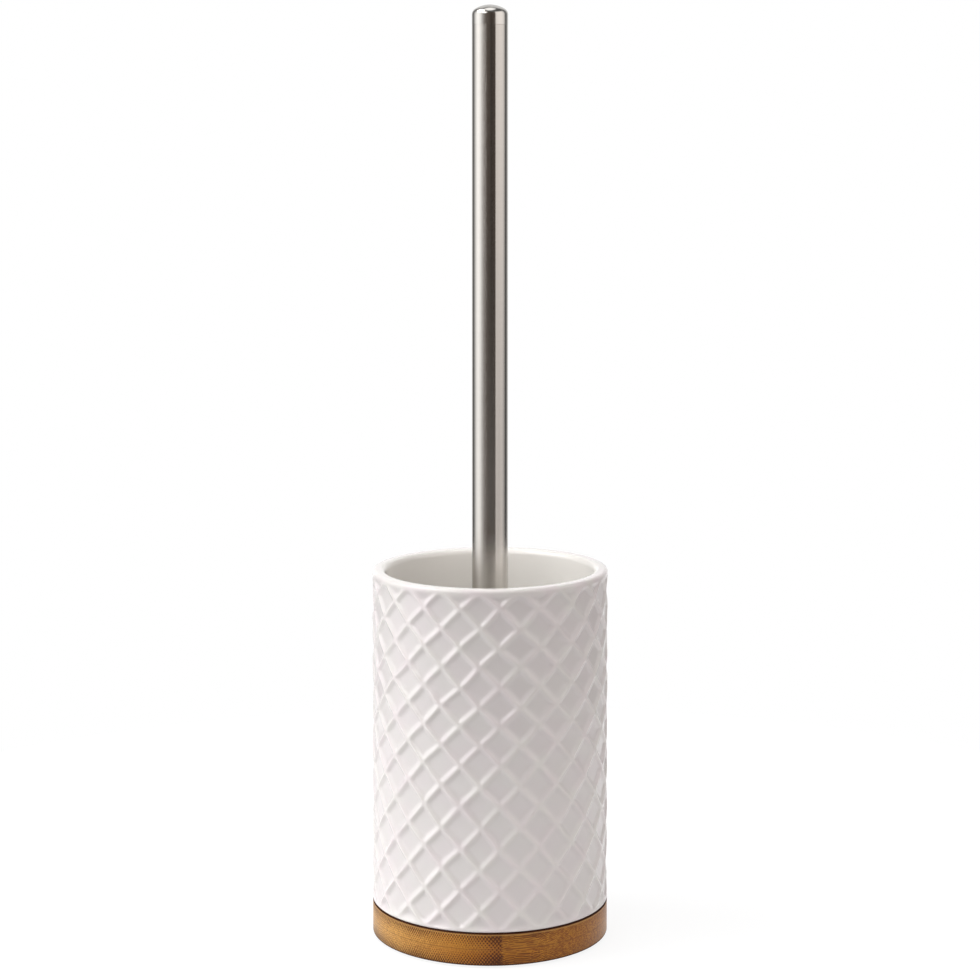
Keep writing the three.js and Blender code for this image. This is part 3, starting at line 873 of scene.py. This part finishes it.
def handle_cap(material):
    low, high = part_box("handle_cap")
    radius, plug = high.x, high.x - TUBE_WALL - PRESS_GAP
    edge = radius - DOME_EDGE_ROUND
    joint = high.z - DOME_HEIGHT - CAP_SKIRT
    skirt_top = joint + CAP_SKIRT
    rise = DOME_HEIGHT - DOME_EDGE_ROUND
    # The dome is a sphere that meets the edge round with no crease
    dome = (edge**2 + rise**2) / (2 * rise) + DOME_EDGE_ROUND
    meeting = math.degrees(math.asin(edge / (dome - DOME_EDGE_ROUND)))
    profile = (
        [(0, low.z), (plug - PLUG_CHAMFER, low.z), (plug, low.z + PLUG_CHAMFER), (plug, joint)]
        + [(radius - CAP_CHAMFER, joint), (radius, joint + CAP_CHAMFER)]
        + arc(edge, skirt_top, DOME_EDGE_ROUND, 0, 90 - meeting, 8)[:-1]
        + arc(0, high.z - dome, dome, 90 - meeting, 90, 16)[:-1]
        + [(0, high.z)]
    )
    vertices, faces = turned(profile, TUBE_SEGMENTS)
    piece = mesh_object("domed_cap", vertices, faces, material, STEEL_SHARP)
    finish_piece(piece, "handle", "handle_cap")


THREAD_PITCH = 2 * MM
THREAD_HEIGHT = 0.5 * MM
INNER_THREAD_HEIGHT = 0.35 * MM
THREAD_RUN_OUT = 1 * MM
THREAD_STEP = 0.2 * MM  # height between the rings of a threaded face
THREAD_CREST = 1.6  # over 1, so that the crest is flat
THREAD_FLANK = 4.2
SPIGOT_RADIUS = 4.7 * MM
THREAD_CLEARANCE = 0.6 * MM
BUSH_FLANGE = 1.2 * MM
BUSH_CHAMFER = 0.3 * MM
BUSH_SEGMENTS = 64
BORE_PLAIN = 0.4 * MM  # at either end of the threaded bore
WASHER_BORE = 5.2 * MM
WASHER_ROUND = 0.3 * MM
WASHER_SEGMENTS = 96


def thread(start, end, height):
    """Added radius of a right-hand thread between two heights, running out at both ends."""

    def relief(radii, heights, angles):
        turn = (heights / THREAD_PITCH - angles / TAU) % 1.0
        flank = np.clip(THREAD_CREST - THREAD_FLANK * np.abs(turn - 0.5), 0, 1)
        begun = smooth_step(heights, start, start + THREAD_RUN_OUT)
        ends = begun * (1 - smooth_step(heights, end - THREAD_RUN_OUT, end))
        return height * flank * ends

    return relief


def thread_bush():
    low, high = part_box("thread_bush")
    radius, plug = high.x, high.x - TUBE_WALL - PRESS_GAP
    flange = low.z + BUSH_FLANGE
    bore = SPIGOT_RADIUS + THREAD_CLEARANCE
    mouth = bore + BUSH_CHAMFER
    rings = np.arange(high.z - BORE_PLAIN, low.z + BORE_PLAIN, -THREAD_STEP)
    profile = [
        (mouth, low.z),
        (radius - BUSH_CHAMFER, low.z),
        (radius, low.z + BUSH_CHAMFER),
        (radius, flange),
        (plug, flange),
        (plug, high.z - BUSH_CHAMFER),
        (plug - BUSH_CHAMFER, high.z),
        (mouth, high.z),
        *[(bore, height) for height in rings],
        (mouth, low.z),
    ]
    inner_thread = thread(low.z + 1 * MM, high.z - 1 * MM, INNER_THREAD_HEIGHT)

    def relief(radii, heights, angles):
        # Half a pitch off, so that it lies in the spigot's grooves
        inward = -inner_thread(radii, heights + THREAD_PITCH / 2, angles)
        return np.where(np.abs(radii - bore) < SAME_PLACE, inward, 0)

    vertices, faces = turned(profile, BUSH_SEGMENTS, relief)
    material = plastic_material("bush_plastic", (0.8, 0.8, 0.78, 1), 0.35)
    piece = mesh_object("bush", vertices, faces, material, PLASTIC_SHARP)
    finish_piece(piece, "handle", "thread_bush")


def seal_washer():
    low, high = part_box("seal_washer")
    outer, inner = high.x, WASHER_BORE
    size = WASHER_ROUND
    profile = (
        arc(outer - size, low.z + size, size, -90, 0, 3)
        + arc(outer - size, high.z - size, size, 0, 90, 3)
        + arc(inner + size, high.z - size, size, 90, 180, 3)
        + arc(inner + size, low.z + size, size, 180, 270, 3)
    )
    vertices, faces = turned(profile + profile[:1], WASHER_SEGMENTS)
    material = rubber_material("washer_rubber", (0.03, 0.03, 0.03, 1))
    piece = mesh_object("washer", vertices, faces, material)
    finish_piece(piece, "seal", "seal_washer")


# ---- The brush head ----

CORE_RADIUS = 12 * MM
CORE_SEGMENTS = 96
CORE_ROUND = 2 * MM  # where the core turns in to the shoulder's cone
SHOULDER_HEIGHT = 12 * MM
LAND_RADIUS = 7.65 * MM  # the washer's seat
LAND_ROUND = 0.3 * MM
TUFT_ROOT = 2 * MM
ROOT_FILLED = 0.92  # shares of the CAD tuft's width that filaments take at its root and its end
END_FILLED = 1.12
FILAMENTS = 84
FILAMENT_RADIUS = 0.22 * MM
FILAMENT_STEPS = 5
FILAMENT_SIDES = 4
FILAMENT_SHARP = math.radians(60)
HELD_LENGTH = 5 * MM  # in the core's hole, before the filaments open out
OPENING_CURVE = 1.15
TIP_JITTER = 0.45 * MM
BEND = 0.35 * MM
LENGTH_CHANGE = 0.02
ANY_SIDE = (0.0, 0.31, 0.95)  # a direction that no tuft lies along


def tuft_axis(node):
    """Start and end of a CAD tuft along its own axis, narrow end first, and its end's radius."""
    points = np.array([v.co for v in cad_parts[node].data.vertices])
    middle = points.mean(0)
    axis = np.linalg.svd(points - middle, full_matrices=False)[2][0]
    widths = [np.linalg.norm(np.cross(p - middle, axis)) for p in points]
    along = (points - middle) @ axis
    if widths[int(along.argmin())] > widths[int(along.argmax())]:
        axis, along = -axis, -along
    narrow = np.array(widths)[along < np.percentile(along, 30)].max()
    wide = np.array(widths)[along > np.percentile(along, 60)].max()
    if narrow > wide:
        axis, along = -axis, -along
    return middle + axis * along.min(), middle + axis * along.max(), max(wide, narrow)


def bristles(material):
    random = np.random.default_rng(7)
    for node in sorted(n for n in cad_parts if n.startswith("bristle_tuft")):
        start, end, spread = tuft_axis(node)
        length = np.linalg.norm(end - start)
        axis = (end - start) / length
        side = np.cross(axis, ANY_SIDE)
        side /= np.linalg.norm(side)
        up = np.cross(axis, side)
        distance = TUFT_ROOT * ROOT_FILLED * np.sqrt(random.random(FILAMENTS))
        turn = random.random(FILAMENTS) * TAU
        root = np.column_stack([distance * np.cos(turn), distance * np.sin(turn)])
        jitter = random.normal(0, TIP_JITTER, (FILAMENTS, 2))
        tip = root * (spread * END_FILLED / TUFT_ROOT) + jitter
        reach = length * (1 - random.random(FILAMENTS) * LENGTH_CHANGE)
        bend = random.normal(0, BEND, (FILAMENTS, 2))
        shares = np.linspace(0, 1, FILAMENT_STEPS)
        vertices, faces = [], []
        for k in range(FILAMENTS):
            for step, share in enumerate(shares):
                opened = max(0.0, share * length - HELD_LENGTH) / (length - HELD_LENGTH)
                offset = root[k] + (tip[k] - root[k]) * opened**OPENING_CURVE
                offset = offset + bend[k] * math.sin(math.pi * opened)
                centre = start + axis * share * reach[k] + side * offset[0] + up * offset[1]
                for corner in range(FILAMENT_SIDES):
                    angle = TAU * corner / FILAMENT_SIDES + k
                    spoke = side * math.cos(angle) + up * math.sin(angle)
                    vertices.append(centre + spoke * FILAMENT_RADIUS)
                if step:
                    base = len(vertices) - 2 * FILAMENT_SIDES
                    for corner in range(FILAMENT_SIDES):
                        following = (corner + 1) % FILAMENT_SIDES
                        faces.append(
                            (
                                base + corner,
                                base + following,
                                base + FILAMENT_SIDES + following,
                                base + FILAMENT_SIDES + corner,
                            )
                        )
            first = len(vertices) - FILAMENT_STEPS * FILAMENT_SIDES
            faces.append(tuple(range(first + FILAMENT_SIDES - 1, first - 1, -1)))
            faces.append(tuple(range(len(vertices) - FILAMENT_SIDES, len(vertices))))
        name = node.replace("bristle_tuft", "filaments")
        piece = mesh_object(name, vertices, faces, material, FILAMENT_SHARP)
        finish_piece(piece, "brush_head", node)


def head_core(material):
    low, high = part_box("head_core")
    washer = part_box("seal_washer")[0].z
    spigot, land = SPIGOT_RADIUS, LAND_RADIUS
    shoulder = washer - SHOULDER_HEIGHT
    nose = low.z + CORE_RADIUS
    rings = np.arange(washer + 0.6 * MM, high.z - 0.8 * MM, THREAD_STEP)
    profile = (
        [(0, low.z)]
        + arc(0, nose, CORE_RADIUS, -84, 0, 14)
        + arc(CORE_RADIUS - CORE_ROUND, shoulder, CORE_ROUND, 0, 20, 3)
        + [(land + 0.15 * MM, washer - 2.2 * MM), (land, washer - 1.8 * MM)]
        + arc(land - LAND_ROUND, washer - LAND_ROUND, LAND_ROUND, 0, 90, 3)
        + [(spigot + 0.4 * MM, washer), (spigot, washer + 0.4 * MM)]
        + [(spigot, height) for height in rings]
        + [(spigot - 0.7 * MM, high.z), (0, high.z)]
    )
    outer_thread = thread(washer + 2 * MM, high.z - 1 * MM, THREAD_HEIGHT)

    def relief(radii, heights, angles):
        outward = outer_thread(radii, heights, angles)
        return np.where(np.abs(radii - spigot) < SAME_PLACE, outward, 0)

    vertices, faces = turned(profile, CORE_SEGMENTS, relief)
    piece = mesh_object("moulded_core", vertices, faces, material, PLASTIC_SHARP)
    finish_piece(piece, "brush_head", "head_core")


# ---- Everything ----

add_camera()
add_world()
add_floor()

cup()
base_disc()
foot_pads()
handle_tube(steel_material("brushed_steel", (0.6, 0.572, 0.54, 1), 0.2, 1.0))
handle_cap(steel_material("polished_steel", (0.59, 0.568, 0.54, 1), 0.2, 0.5))
thread_bush()
seal_washer()
white_plastic = plastic_material("white_plastic", (0.84, 0.84, 0.82, 1), 0.3)
head_core(white_plastic)
bristles(plastic_material("bristle_nylon", (0.94, 0.95, 0.94, 1), 0.38))

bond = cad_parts["bond_ring"]
bond.data.materials.clear()
bond.data.materials.append(rubber_material("silicone", (0.5, 0.49, 0.46, 1)))

bpy.context.scene.view_settings.view_transform = "Standard"
